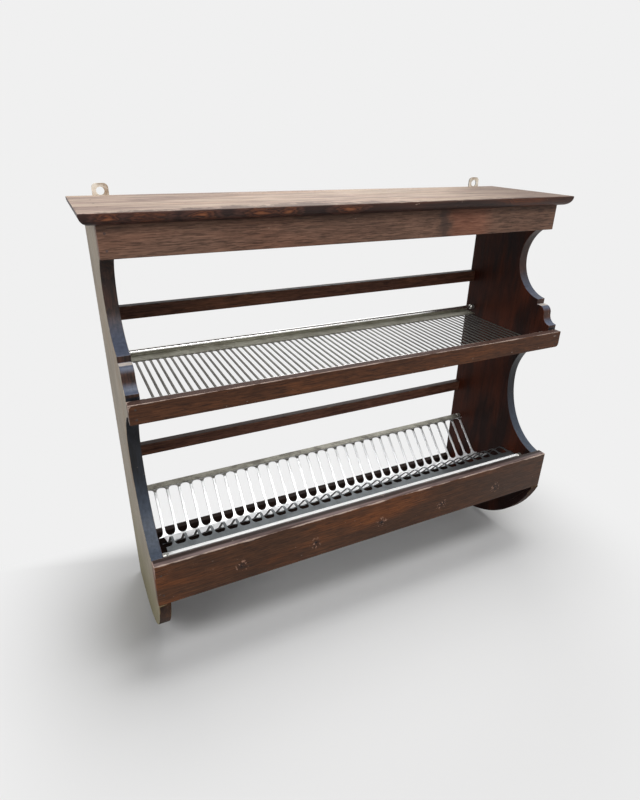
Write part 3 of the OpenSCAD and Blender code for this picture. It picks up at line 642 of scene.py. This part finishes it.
def wooden_pieces():
    floor_z, rail_z = FOOT_Z, FOOT_Z + MID_UP + MID_H
    edge = {"grain": "z", "pith": (-0.3, 0.45)}
    m_side_in = wood(
        "side_inner_wood", "120808 21100c 4a2213 5c3c2c", (-0.2, 0.62), "z", tilt=(0.03, 0.0), seed=3.0,
        warm_mix=0.8, warm_at=0.56, ring_mix=0.12, streak_mix=0.15, fibre_mix=0.35, gloss=0.08, chips=0.25,
        pores=0.2)
    # the outer faces turn darker and more olive towards the foot; the darkening is painted shade
    m_side_out = wood(
        "side_outer_wood", "736859 968b7c 8a7660 b8ab98", (-0.16, -0.52), "z", tilt=(0.02, 0.0), ring=0.005,
        wear=0.35, rough=0.6, seed=5.0, ring_mix=0.35, fibre_mix=0.35, streak_mix=0.3, pores=0.2,
        extras=[by_height(srgb("777050"), floor_z + 0.42, floor_z + 0.04, 0.85)])
    # painted reflection: a bluish tint on the scoop edge's faces that look up
    m_scoop = wood(
        "scoop_edge_wood", "1a0f0c 38241c 4a2b1f 8b8078", **edge, wear=0.35, rough=0.42, seed=8.0, ring_mix=0.4,
        extras=[facing_up(srgb("474f60"), 0.3, 0.85, 0.85),
                facing_up(srgb("b3aaa2"), 0.93, 0.99, 0.9, floor_z + LEDGE_UP)])
    # painted reflection: bluish near-black colours, and a bluish tint on the faces that look up
    m_bay = wood("bay_edge_wood", "0d0e12 181b22 231d1b 8b8078", **edge, wear=0.35, rough=0.34, seed=8.6,
                 extras=[facing_up(srgb("434c5a"), 0.1, 0.8, 0.85)])
    m_foot = wood("foot_edge_wood", "23150f 3a2519 553620 8f7c5c", **edge, wear=0.6, rough=0.6, seed=8.9,
                  gloss=0.08, chips=0.9)
    m_top = wood(
        "top_wood", "614f46 816f65 907c6b 948678", (-0.16, -0.12), tilt=(0.05, 0.0), ring=0.007, wear=0.25,
        rough=0.6, seed=1.0, ring_mix=0.5, fibre_mix=0.6, streak_mix=0.5, fibres=(24.0, 330.0),
        extras=[top_stain])
    m_top_edge = wood(
        "top_edge_wood", "1d0f0c 3d2820 8a4a22 a58e7e", (-0.262, -0.017), ring=0.0019, wobble=(9.0, 9.0, 0.024),
        wear=0.25, rough=0.45, seed=1.7, ring_mix=1.0, warm_at=0.6, warm_mix=0.5, gloss=0.25,
        extras=[edge_eyes])
    m_frieze = wood(
        "frieze_wood", "46322a 694f41 724b39 a8927f", (-0.3, 0.1), tilt=(0.0, 0.01), ring=0.0042, rough=0.55,
        seed=2.0, ring_mix=0.2, warm_mix=0.35, fibre_mix=0.8, streak_mix=0.15, fibres=(34.0, 360.0), gloss=0.25,
        pores=0.5, extras=[frieze_marks])
    # painted shade: the rail's back face is nearly black
    m_rail = wood(
        "rail_wood", "2c180e 4c2d1a 643a1e a8958a", (-0.35, -0.45), tilt=(0.0, 0.015), ring=0.004, wear=0.6,
        rough=0.48, seed=4.0, ring_mix=0.2, gloss=0.2, fibre_mix=0.8, streak_mix=0.2, fibres=(34.0, 360.0),
        pores=0.5, extras=[facing_up(srgb("3a2b27"), 0.5, 0.9, 0.85), back_face_shade])
    # painted shade: the back face is nearly black, and so is the upper face along the rack
    m_bottom = wood(
        "bottom_wood", "2c190e 482b17 7c4319 b09c90", (-0.38, -0.62), tilt=(0.0, 0.03),
        wobble=(2.6, 9.0, 0.035), wear=0.85, rough=0.48, seed=6.0, warm_at=0.58, warm_mix=0.6, gloss=0.2,
        fibre_mix=0.8, streak_mix=0.25, fibres=(30.0, 350.0), streaks=(7.0, 260.0), pores=0.5,
        extras=[grey_end, hook_scars, board_top, back_face_shade])
    # painted shade: the slats' upper faces are nearly black
    m_slat = wood(
        "slat_wood", "472d24 6c493a 82563c a08872", (-0.1, -0.3), tilt=(0.0, 0.01), ring=0.0045, seed=9.0,
        gloss=0.15, fibre_mix=0.7, streak_mix=0.25, fibres=(30.0, 350.0), pores=0.45,
        extras=[facing_up(srgb("1a100d"), 0.3, 0.8, 0.9)])
    # painted shade: the foot rail, under the rack, gets near-black colours
    m_foot_rail = wood(
        "foot_rail_wood", "130c0a 20140f 2c1b12 4b3a30", (-0.1, -0.3), tilt=(0.0, 0.01), ring=0.0045, wear=0.2,
        rough=0.6, seed=9.6, gloss=0.1, fibre_mix=0.6, streak_mix=0.25, chips=0.2)

    out = side_outline()
    for name, x0, sign in (("side_board_left", -CARCASE_W/2, -1),
                           ("side_board_right", CARCASE_W/2 - SIDE_T, 1)):
        def pick(nrm, c, sign=sign):
            if nrm.x*sign > 0.3:
                return 1
            if nrm.x*sign < -0.3 or c.y > BACK_Y - BACK_BAND:
                return 0
            return 2 if c.z > rail_z else 3 if c.z > floor_z + BOTTOM_UP else 4

        def foot_wear(p):
            return np.clip(1 - (p[:, 2] - FOOT_Z)/FOOT_WORN, 0, 0.9)

        eased_board(name, out, x0, x0 + SIDE_T, SIDE_EASE, [m_side_in, m_side_out, m_scoop, m_bay, m_foot],
                    pick, worn_at=foot_wear)

    half = CARCASE_W/2

    def front_board(name, depth, thick, up, tall, ease, m, extra=None, wear_gain=None):
        eased_board(name, rect(depth, depth + thick, up, up + tall), -half, half, ease, [m], extra=extra,
                    wear_gain=wear_gain)

    def upper_only(top):
        """The lower arris of a front board is rubbed less than the upper one."""
        return lambda p: np.where(p[:, 2] > FOOT_Z + top - UPPER_BAND, 1.0, 0.45)

    def round_corner(bm):
        """The middle rail's lower right corner has worn round."""
        low = FOOT_Z + MID_UP + TOUCH
        edges = [e for e in bm.edges if all(v.co.x > half - TOUCH and v.co.z < low for v in e.verts)]
        bmesh.ops.bevel(bm, geom=edges, offset=CORNER_R, segments=5, profile=0.5, affect="EDGES")

    front_board("frieze_board", FRONT_BACK_D, FRIEZE_T, CARCASE_H - FRIEZE_H, FRIEZE_H, FRIEZE_EASE, m_frieze)
    front_board("middle_rail", NOSE_D, MID_T, MID_UP, MID_H, FRONT_EASE, m_rail, round_corner,
                upper_only(MID_UP + MID_H))
    front_board("bottom_board", TOE_D, BOTTOM_T, BOTTOM_UP, BOTTOM_H, FRONT_EASE, m_bottom,
                wear_gain=upper_only(BOTTOM_UP + BOTTOM_H))
    reach = INNER_W/2 + SLAT_LET_IN
    for name, up, tall, m in (("back_slat_upper", SLAT_UPPER_UP, SLAT_H, m_slat),
                              ("back_slat_lower", SLAT_LOWER_UP, SLAT_H, m_slat),
                              ("back_rail_foot", FOOT_RAIL_UP, FOOT_RAIL_H, m_foot_rail)):
        eased_board(name, rect(0, SLAT_T, up, up + tall), -reach, reach, SLAT_EASE, [m])
    top_board(m_top, m_top_edge)


def top_board(m_top, m_edge):
    """Flat board, square at the back, with a quarter round along the front and both ends."""
    r = TOP_T - TOP_ARRIS
    levels = [(r*(1 - sind(t)), r*(1 - cosd(t))) for t in range(0, 91, 10)]
    e = TOP_EASE
    levels += [(0.0, TOP_T - e), (e*0.3, TOP_T - e*0.3), (e, TOP_T)]
    w = CARCASE_W/2 + TOP_OVER_END
    front, back = BACK_Y - HEAD_D - TOP_OVER_FRONT, -HANGER_T
    bm = bmesh.new()
    rings = []
    for inset, up in levels:
        back_in = 0.0 if up < TOP_T - e*0.1 else e*0.6
        z = HEAD_Z + up
        rings.append([bm.verts.new((x, y, z)) for x, y in (
            (-w + inset, front + inset), (w - inset, front + inset), (w - inset, back - back_in),
            (-w + inset, back - back_in))])
    for lo, hi in zip(rings, rings[1:]):
        closed_band(bm, hi, lo)
    bm.faces.new(list(reversed(rings[0])))
    cap = bm.faces.new(rings[-1])
    bmesh.ops.inset_individual(bm, faces=[cap], thickness=SUPPORT, use_even_offset=True)
    bmesh.ops.recalc_face_normals(bm, faces=bm.faces)
    for f in bm.faces:
        f.material_index = 0 if f.normal.z > 0.75 else 1
    z_top = HEAD_Z + TOP_T
    corners = [np.array((x, y, z_top)) for x, y in ((-w, front), (w, front), (w, back), (-w, back))]
    segs = [(corners[i], corners[(i + 1) % 4]) for i in range(4)]
    finish_piece("top_board", bm, [m_top, m_edge], "cabinet", ["top_board"],
                 lambda p: np.clip(1 - segment_distance(p, segs)/SUPPORT, 0, 1))


NAIL_HEAD_R, NAIL_SHANK_R, NAIL_DOME, NAIL_HEAD_T, NAIL_L = 2.2*MM, 1.2*MM, 0.25*MM, 1.2*MM, 45*MM
NAIL_TIP_L, NAIL_TIP_R, NAIL_SIDES = 4*MM, 0.2*MM, 20


def nails(m_dark, m_stained):
    """The nails, each with a slightly domed head that stands a little proud of the board."""
    side, slat_x = CARCASE_W/2 - SIDE_T/2, INNER_W/2 + SLAT_LET_IN/2
    shares = (NAIL_SHARE, 1 - NAIL_SHARE)
    slat_middles = (SLAT_UPPER_UP + SLAT_H/2, SLAT_LOWER_UP + SLAT_H/2, FOOT_RAIL_UP + FOOT_RAIL_H/2)
    top_spots = [(TOP_Z, -d) for d in (TOP_NAIL_IN, HEAD_D/2, HEAD_D - TOP_NAIL_IN)]
    frieze_spots = [(HEAD_D, CARCASE_H - FRIEZE_H*k) for k in reversed(shares)]
    rail_spots = [(NOSE_D + MID_T, MID_UP + MID_H*k) for k in shares]
    bottom_spots = [(TOE_D + BOTTOM_T, BOTTOM_UP + BOTTOM_H*k) for k in shares]
    profile = [(NAIL_HEAD_R*sind(a), NAIL_DOME*cosd(a)) for a in range(15, 91, 15)]
    profile += [(NAIL_HEAD_R, -NAIL_HEAD_T), (NAIL_SHANK_R, -NAIL_HEAD_T), (NAIL_SHANK_R, NAIL_TIP_L - NAIL_L),
                (NAIL_TIP_R, -NAIL_L)]

    def corner(way, x, p, q, r, h, turn):
        """A point of a nail that is driven in along `way`: r off its axis, h above the board."""
        c, t = r*math.cos(turn), r*math.sin(turn)
        if way == "z":
            return x + c, BACK_Y + q + t, p + h
        y, z = at(p, q)
        return x + c, y + (h if way == "y" else -h), z + t

    for name, way, x_off, spots, m in (("top_board_nails", "z", side, top_spots, m_dark),
                                       ("frieze_nails", "-y", side, frieze_spots, m_stained),
                                       ("middle_rail_nails", "-y", side, rail_spots, m_dark),
                                       ("bottom_board_nails", "-y", side, bottom_spots, m_dark),
                                       ("slat_nails", "y", slat_x, [(0.0, h) for h in slat_middles], m_dark)):
        bm = bmesh.new()
        for x in (-x_off, x_off):
            for p, q in spots:
                rings = [[bm.verts.new(corner(way, x, p, q, r, h, math.tau*k/NAIL_SIDES))
                          for k in range(NAIL_SIDES)] for r, h in profile]
                for a, b in zip(rings, rings[1:]):
                    closed_band(bm, b, a)
                bm.faces.new(rings[0])
                bm.faces.new(list(reversed(rings[-1])))
        finish_piece(name, bm, [m], "cabinet", [name])


# Racks
def ring_profile(w, t, r, n=3):
    """Points of a rounded rectangle w wide and t thick, its top at 0."""
    r = min(r, w/2*0.98, t/2*0.98)
    pts = []
    for cx, cz, a0 in ((w/2 - r, -r, 0), (-w/2 + r, -r, 90), (-w/2 + r, -t + r, 180), (w/2 - r, -t + r, 270)):
        for i in range(n + 1):
            a = math.radians(a0 + 90*i/n)
            pts.append((cx + r*math.cos(a), cz + r*math.sin(a)))
    return pts


def sweep(bm, x, path, widths, t, r):
    """A strip t thick whose width changes along a Y-Z path; its upper face lies on the path."""
    rings = []
    for i, (y, z) in enumerate(path):
        p0, p1 = path[max(i - 1, 0)], path[min(i + 1, len(path) - 1)]
        ty, tz = p1[0] - p0[0], p1[1] - p0[1]
        s = math.hypot(ty, tz) or 1.0
        ny, nz = tz/s, -ty/s
        if nz < 0:
            ny, nz = -ny, -nz
        rings.append([bm.verts.new((x + px, y + ny*pz, z + nz*pz)) for px, pz in ring_profile(widths[i], t, r)])
    for a, b in zip(rings, rings[1:]):
        closed_band(bm, b, a)
    bm.faces.new(rings[0])
    bm.faces.new(list(reversed(rings[-1])))


def resample(path, step):
    """Points about `step` apart along a polyline, its corners kept, with their distance from the start."""
    out, run = [path[0]], [0.0]
    for p, q in zip(path, path[1:]):
        d = math.dist(p, q)
        k = max(1, round(d/step))
        for i in range(1, k + 1):
            out.append(between(p, q, i/k))
            run.append(run[-1] + d/k)
    return out, run


def with_ends(run, total, reach, steps):
    """Distances along a bar, with extra ones where it flares into the sheet at each end."""
    extra = [reach*(1 - cosd(90*i/steps)) for i in range(steps + 1)]
    inside = [v for v in run if reach < v < total - reach]
    return sorted({round(v, 6) for v in inside + extra + [total - v for v in extra]})


def point_at(path, run, s):
    """The point at the distance s along a path, where run holds the distance of each of its points."""
    for i in range(1, len(run)):
        if s <= run[i] + 1e-9:
            f = (s - run[i - 1])/max(run[i] - run[i - 1], 1e-12)
            return between(path[i - 1], path[i], f)
    return path[-1]


def flare(s, total, w, pitch, end=True):
    """Width of a bar s along it: it spreads to the full pitch round the slots' round ends."""
    r = (pitch - w)/2
    out = w
    for on, d in ((True, s), (end, total - s)):
        if on and d < r:
            out = max(out, pitch - 2*math.sqrt(max(r*r - (r - d)**2, 0.0)))
    return out


def tube_strip(bm, x0, x1, outline):
    """A closed Y-Z outline pulled along X."""
    a = [bm.verts.new((x0, y, z)) for y, z in outline]
    b = [bm.verts.new((x1, y, z)) for y, z in outline]
    bm.faces.new(a)
    bm.faces.new(list(reversed(b)))
    closed_band(bm, a, b)


def sheet_outline(path, t):
    """Closed outline of a sheet t thick whose outer face follows the path and whose body lies on its right."""
    inner = []
    for i, (y, z) in enumerate(path):
        p0, p1 = path[max(i - 1, 0)], path[min(i + 1, len(path) - 1)]
        s = math.hypot(p1[0] - p0[0], p1[1] - p0[1])
        ny, nz = (p1[1] - p0[1])/s, -(p1[0] - p0[0])/s
        inner.append((y + ny*t, z + nz*t))
    return path + inner[::-1]


BAR_ARRIS, LIP_ARRIS = 0.9*MM, 0.4*MM
UPPER_BAR_ARRIS = 0.8*MM
BEND_STEP, HOOP_STEP = 12*MM, 6*MM


def bars_in(room, first, last, pitch):
    """How many bars fit, and the length of the sheet that holds them."""
    n = 1 + int((room - first - last)/pitch)
    return n, first + (n - 1)*pitch + last


def curl_over(rod_d, rod_up, turns, side=1):
    """Points over a rod at the given turns in degrees, from its wall side, or from its front with side -1."""
    return [at(rod_d - side*CURL_OUT*cosd(a), rod_up + CURL_OUT*sind(a)) for a in turns]


def glass_rack(m_edge, m_bar, m_curl_highlight, m_flat):
    n, length = bars_in(RACK_ROOM, UPPER_FIRST, UPPER_LAST, UPPER_PITCH)
    sheet_h = UPPER_ROD_UP - UPPER_DROP
    bm = bmesh.new()
    for rod_d, s, plain in ((UPPER_BACK_D, 1, UPPER_BACK_STRIP), (UPPER_FRONT_D, -1, UPPER_FRONT_STRIP)):
        # over the rod from its far side, down its near side, then flat to the slots
        pts = curl_over(rod_d, UPPER_ROD_UP, np.linspace(0, 180, 25), s)
        pts += [at(rod_d + s*(CURL_OUT + UPPER_BEND_R*(1 - cosd(a))), sheet_h + UPPER_BEND_R*(1 - sind(a)))
                for a in range(0, 91, 18)]
        pts.append(at(rod_d + s*(CURL_IN + plain), sheet_h))
        tube_strip(bm, RACK_X0, RACK_X0 + length, sheet_outline(pts if s > 0 else pts[::-1], SHEET_T))
    # painted highlight: the curls' tops get a near-white copy of the sheet; painted shade: the front strip,
    # under the middle rail, gets a dark copy
    for f in bm.faces:
        c = f.calc_center_median()
        f.material_index = 1 if c.z > FOOT_Z + UPPER_ROD_UP - 1*MM else 2 if c.y < BACK_Y - HEAD_D/2 else 0
    finish_piece("glass_rack_sheet", bm, [m_edge, m_curl_highlight, m_flat], "glass_rack",
                 ["glass_rack_back_edge", "glass_rack_front_edge"])
    bm = bmesh.new()
    d0, d1 = UPPER_BACK_D + CURL_IN + UPPER_BACK_STRIP, UPPER_FRONT_D - CURL_IN - UPPER_FRONT_STRIP
    total = d1 - d0
    run = with_ends([total*i/10 for i in range(11)], total, (UPPER_PITCH - UPPER_BAR_W)/2, 6)
    path = [at(d0 + s, sheet_h) for s in run]
    widths = [flare(s, total, UPPER_BAR_W, UPPER_PITCH) for s in run]
    for i in range(n):
        sweep(bm, RACK_X0 + UPPER_FIRST + i*UPPER_PITCH, path, widths, UPPER_BAR_T, UPPER_BAR_ARRIS)
    finish_piece("glass_rack_slotted_bars", bm, [m_bar], "glass_rack", ["glass_rack_bars"])


def plate_rack(m_edge, m_bar, m_front, m_apron, m_hoop):
    n, length = bars_in(RACK_ROOM, LOWER_FIRST, LOWER_LAST, LOWER_PITCH)
    crest = LOWER_ROD_UP + CURL_OUT
    trough_up = LOWER_ROD_UP - TROUGH_DROP
    bend_d = LOWER_BACK_D + LOWER_STRIP
    slope_d = bend_d + BEND_R*math.sin(BACK_SLOPE)
    slope_up = crest - BEND_R*(1 - math.cos(BACK_SLOPE))
    trough_d = slope_d + (slope_up - trough_up)/math.tan(BACK_SLOPE)
    apron_d = trough_d + APRON_SHARE*(LOWER_FRONT_D - trough_d)
    apron_up = trough_up + (apron_d - trough_d)*math.tan(FRONT_SLOPE)
    strip_d = LOWER_FRONT_D - CURL_IN - FRONT_STRIP
    hoop_up = LOWER_ROD_UP + HOOP_RISE
    crest_d = apron_d + HOOP_REACH
    r = (LOWER_PITCH - LOWER_BAR_W)/2
    lip = r + LIP_MORE
    lip_d, lip_up = trough_d - lip*math.cos(BACK_SLOPE), trough_up + lip*math.sin(BACK_SLOPE)
    x_first = RACK_X0 + LOWER_FIRST
    x_last = x_first + (n - 1)*LOWER_PITCH
    x_end = RACK_X0 + length

    def rows(pts, widths, thick, arris):
        """The same strip at every bar of the rack."""
        bm = bmesh.new()
        for i in range(n):
            sweep(bm, x_first + i*LOWER_PITCH, pts, widths, thick, arris)
        return bm

    # back edge: curled over the rod, then the flat strip
    bm = bmesh.new()
    pts = [at(LOWER_BACK_D - CURL_OUT, LOWER_ROD_UP - CURL_IN)]
    pts += curl_over(LOWER_BACK_D, LOWER_ROD_UP, range(0, 91, 8))
    pts += [at(LOWER_BACK_D, crest), at(bend_d, crest)]
    tube_strip(bm, RACK_X0, x_end, sheet_outline(pts, SHEET_T))
    finish_piece("plate_rack_back_strip", bm, [m_edge], "plate_rack", ["plate_rack_back_edge"])

    # bars: round the bend, down the slope and into the lip, spreading round the slots' upper ends
    path = [at(bend_d + BEND_R*sind(a), crest - BEND_R*(1 - cosd(a))) for a in range(0, 46, 5)]
    bend_end = path[-1]
    path += [between(bend_end, at(lip_d, lip_up), k/6) for k in range(1, 7)]
    path, run = resample(path, BEND_STEP)
    total = run[-1]
    ss = with_ends(run, total, r, 8)
    bm = rows([point_at(path, run, s) for s in ss],
              [flare(s, total, LOWER_BAR_W, LOWER_PITCH, end=False) for s in ss], LOWER_BAR_T, BAR_ARRIS)
    finish_piece("plate_rack_back_bars", bm, [m_bar], "plate_rack", ["plate_rack_bars"])

    # trough: the lip with its round notches, and the plain apron
    down = sorted(lip - lip*(1 - cosd(90*k/8)) for k in range(9))
    pts = [at(lip_d + s*math.cos(BACK_SLOPE), lip_up - s*math.sin(BACK_SLOPE)) for s in down]
    widths = [LOWER_PITCH - (2*math.sqrt(max(r*r - min(s, r)**2, 0.0)) if s < r else 0.0) for s in down]
    bm = rows(pts, widths, SHEET_T, LIP_ARRIS)
    pts = [at(trough_d, trough_up), at(apron_d, apron_up)]
    tube_strip(bm, x_first - LOWER_BAR_W/2, x_last + LOWER_BAR_W/2, sheet_outline(pts, SHEET_T))
    finish_piece("plate_rack_trough", bm, [m_apron], "plate_rack",
                 ["plate_rack_lip", "plate_rack_apron"])

    # hoops
    path = [at(apron_d, apron_up)]
    path += [at(crest_d + HOOP_R*cosd(a), hoop_up - HOOP_R + HOOP_R*sind(a))
             for a in np.arange(180 - math.degrees(HOOP_START), 89, -7)]
    path.append(at(strip_d, hoop_up))
    path, run = resample(path, HOOP_STEP)
    total = run[-1]
    ss = with_ends(run, total, (LOWER_PITCH - HOOP_W)/2, 7)
    bm = rows([point_at(path, run, s) for s in ss], [flare(s, total, HOOP_W, LOWER_PITCH) for s in ss],
              LOWER_BAR_T, BAR_ARRIS)
    finish_piece("plate_rack_front_hoops", bm, [m_hoop], "plate_rack", ["plate_rack_hoops"])

    # front edge: the flat strip behind, then curled over the rod
    bm = bmesh.new()
    first_turn = math.degrees(math.asin(HOOP_RISE/CURL_OUT))
    pts = [at(strip_d, hoop_up)]
    pts += curl_over(LOWER_FRONT_D, LOWER_ROD_UP, np.arange(first_turn, 181, 8))
    pts.append(at(LOWER_FRONT_D + CURL_OUT, LOWER_ROD_UP))
    tube_strip(bm, RACK_X0, x_end, sheet_outline(pts, SHEET_T))
    # painted highlight: the bead gets the white copy of the sheet, and the strip behind it the hoops' dark copy
    for f in bm.faces:
        f.material_index = 1 if f.calc_center_median().y > at(LOWER_FRONT_D - CURL_OUT, 0)[0] + 1*MM else 0
    finish_piece("plate_rack_front_bead", bm, [m_front, m_hoop], "plate_rack",
                 ["plate_rack_front_edge"])


# Stage
BACKDROP = srgb("f0f0f0")
WORLD_LIGHT, FLOOR_SIZE = 0.08, 12
FLOOR_COLOR = (0.58, 0.58, 0.58, 1)
# the floor turns into the backdrop with the distance from FADE_CENTER, and behind the object
FADE_CENTER, FADE_FROM, FADE_TO, FADE_BEHIND = (-0.05, -0.3), 0.45, 0.95, (0.0, 0.14)


def stage():
    """A white world that is seen as the backdrop's grey, and a plain pale floor that keeps the shadow."""
    world = bpy.data.worlds.new("world")
    bpy.context.scene.world = world
    world.use_nodes = True
    n = Nodes(world.node_tree)
    light, back = n.add("ShaderNodeBackground"), n.add("ShaderNodeBackground")
    light.inputs[0].default_value = (1, 1, 1, 1)
    light.inputs[1].default_value = WORLD_LIGHT
    back.inputs[0].default_value = BACKDROP
    n.put(n.add("ShaderNodeOutputWorld").inputs[0], n.mix_shaders(n.seen(), light.outputs[0], back.outputs[0]))

    bm = bmesh.new()
    bmesh.ops.create_grid(bm, x_segments=1, y_segments=1, size=FLOOR_SIZE)
    mesh = bpy.data.meshes.new("floor")
    bm.to_mesh(mesh)
    bm.free()
    floor = put_in_scene("floor", mesh)
    floor.location = (0, 0, FOOT_Z)
    m, n = new_material("floor_paper")
    x, y, _ = n.xyz(n.add("ShaderNodeTexCoord").outputs["Object"])
    far = n.span(n.length(n.minus(x, FADE_CENTER[0]), n.minus(y, FADE_CENTER[1])), FADE_FROM, FADE_TO)
    far = n.math("MAXIMUM", far, n.span(y, *FADE_BEHIND))
    plain, glow = n.add("ShaderNodeBsdfDiffuse"), n.add("ShaderNodeEmission")
    plain.inputs[0].default_value = FLOOR_COLOR
    glow.inputs[0].default_value = BACKDROP
    mixed = n.mix_shaders(n.mul(far, n.seen()), plain.outputs[0], glow.outputs[0])
    n.put(n.add("ShaderNodeOutputMaterial").inputs[0], mixed)
    mesh.materials.append(m)


def lamp(name, place, aim, size, size_y, watts):
    data = bpy.data.lights.new(name, "AREA")
    data.shape = "RECTANGLE"
    data.size, data.size_y = size, size_y
    data.energy = watts
    obj = put_in_scene(name, data)
    obj.location = place
    obj.rotation_euler = (Vector(aim) - Vector(place)).to_track_quat("-Z", "Y").to_euler()


# Assembly
add_camera()
bpy.context.scene.view_settings.view_transform = "Standard"
stage()
MIDDLE = (0.0, -0.2, -0.5)
lamp("overhead_softbox", (0.1, -0.14, 2.0), (0.0, -0.2, -0.9), 1.6, 0.85, 72)
lamp("front_left_softbox", (-2.2, -1.5, 1.2), MIDDLE, 1.2, 1.2, 41)
lamp("front_top_softbox", (0.5, -1.5, 1.4), MIDDLE, 1.6, 0.6, 22)
lamp("back_softbox", (1.2, 2.2, -0.1), (0.0, 0.0, -0.5), 1.2, 1.0, 11)

wooden_pieces()
m_dull = metal("dull_sheet", (0.34, 0.33, 0.27, 1), (0.20, 0.19, 0.145, 1), 0.7, 0.45, spots=0.5)
m_speck = metal("speckled_sheet", (0.30, 0.29, 0.24, 1), (0.10, 0.09, 0.07, 1), 0.9, 0.45, spots=0.8)
# painted shade: a dark copy of the sheet for the glass rack's front strip
m_flat = metal("shaded_sheet", (0.12, 0.11, 0.09, 1), (0.07, 0.06, 0.05, 1), 0.6, 0.5)
# painted highlight: a near-white copy of the sheet for the curls' tops
m_curl_highlight = metal("curl_painted_highlight", (0.97, 0.97, 0.95, 1), (0.75, 0.75, 0.70, 1), 0.3, 0.14, metallic=1.0,
               spots=0.1, bump=0.03, fine=120.0)
# painted dark reflection: the glass rack's bars get a darker copy of the sheet, with painted shade on their cut
# edges
m_bars = metal("bar_sheet", (0.21, 0.20, 0.18, 1), (0.12, 0.115, 0.10, 1), 0.5, 0.38, grain="y", side_shade=0.85)
# painted reflection: near-white copies of the sheet for the plate rack's sloping bars and its trough; the bars
# also get painted shade on their cut edges and a painted dark reflection in the bend
m_light = metal("bright_sheet", (0.90, 0.91, 0.92, 1), (0.74, 0.75, 0.75, 1), 0.4, 0.34, grain="y",
                metallic=0.6, spots=0.12, side_shade=0.5, bend=0.92)
m_apron = metal("apron_sheet", (0.90, 0.91, 0.92, 1), (0.72, 0.73, 0.73, 1), 0.4, 0.34, metallic=0.6,
                spots=0.12)
# painted shade: a dark copy of the sheet for the hoops and the strip behind the bead, darker still on their cut
# edges and on what faces down
m_hoop = metal("hoop_sheet", (0.22, 0.24, 0.25, 1), (0.12, 0.13, 0.14, 1), 0.6, 0.36, grain="y", spots=0.2,
               side_shade=0.85, down_shade=0.9, down_shade_at=(-0.2, 0.3))
# painted highlight: a white copy of the sheet for the front bead, with painted shade on its lower side
m_bead_highlight = metal("front_bead_painted_highlight", (1.0, 1.0, 1.0, 1), (0.88, 0.88, 0.88, 1), 0.3, 0.4, metallic=0.0,
               spots=0.05, bump=0.03, down_shade=0.95, down_shade_at=(0.5, 0.85), fine=120.0)
m_steel = metal("old_rod_steel", (0.5, 0.5, 0.47, 1), (0.25, 0.22, 0.18, 1), 0.5, 0.35)
# painted shade on the plates' cut edges
m_brass = metal("pale_brass", (1.0, 0.95, 0.84, 1), (0.32, 0.21, 0.12, 1), 0.95, 0.2, metallic=0.6, spots=0.5,
                side_shade=0.9)
nails(metal("old_nail_steel", srgb("3a2a22"), srgb("241611"), 0.7, 0.6, metallic=0.2),
      metal("stained_nail", srgb("55403a"), srgb("3f2e29"), 0.7, 0.6, metallic=0.0))
glass_rack(m_dull, m_bars, m_curl_highlight, m_flat)
plate_rack(m_speck, m_light, m_bead_highlight, m_apron, m_hoop)
for m, names in ((m_steel, ("rod_upper_back", "rod_upper_front", "rod_lower_back", "rod_lower_front",
                            "rod_bushes")),
                 (m_brass, ("hanger_plate_left", "hanger_plate_right", "hanger_screws"))):
    for name in names:
        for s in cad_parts[name].material_slots:
            s.material = m
